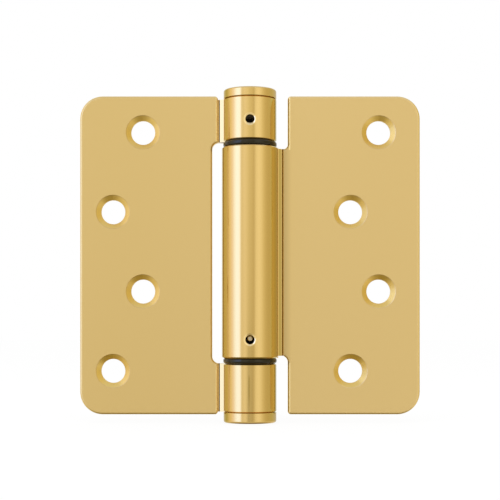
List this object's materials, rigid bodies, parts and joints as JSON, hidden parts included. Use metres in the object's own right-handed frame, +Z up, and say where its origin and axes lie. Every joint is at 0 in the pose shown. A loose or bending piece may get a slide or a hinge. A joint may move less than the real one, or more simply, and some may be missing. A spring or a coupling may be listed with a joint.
{
  "type": "spring hinge",
  "caption": "Self-closing full-mortise spring hinge, open flat: two rolled brass-finished leaves, a long spring barrel between end knuckles, black washers and button caps.",
  "frame": {"origin": "on the pivot axis, at the middle of the whole hinge's box", "axes": "+Z up along the pivot axis to the capped end that takes the key, +X across the leaves from the fixed leaf to the spring leaf, +Y away from the face with the countersinks, into the door and jamb"},
  "size_m": [0.1084, 0.0178, 0.1058],
  "materials": {
    "brass_finish": "fine satin on the leaves, brighter on the barrel",
    "turned_steel": "turned",
    "spring_steel": "oiled",
    "black_nylon": "satin black"
  },
  "bodies": {
    "fixed_leaf": {"end_knuckle_leaf": "brass_finish", "lower_pivot": "turned_steel", "bottom_cap": "brass_finish"},
    "spring_leaf": {"spring_barrel_leaf": "brass_finish", "spring_anchor": "turned_steel", "anchor_pin": "turned_steel", "torsion_spring": "spring_steel", "upper_washer": "black_nylon", "lower_washer": "black_nylon"},
    "adjuster": {"tension_adjuster": "turned_steel", "top_cap": "brass_finish", "adjuster_clip": "spring_steel"}
  },
  "joints": [
    {"name": "leaf_hinge", "type": "hinge", "parent": "fixed_leaf", "child": "spring_leaf", "pos_m": [0, 0, 0], "axis": [0, 0, -1], "range_deg": [0, 180], "stiffness_Nm_per_rad": 0.64, "deforming": ["torsion_spring"]},
    {"name": "adjuster_turn", "type": "hinge", "parent": "fixed_leaf", "child": "adjuster", "pos_m": [0, 0, 0.04], "axis": [0, 0, 1], "range_deg": [0, 240]}
  ]
}
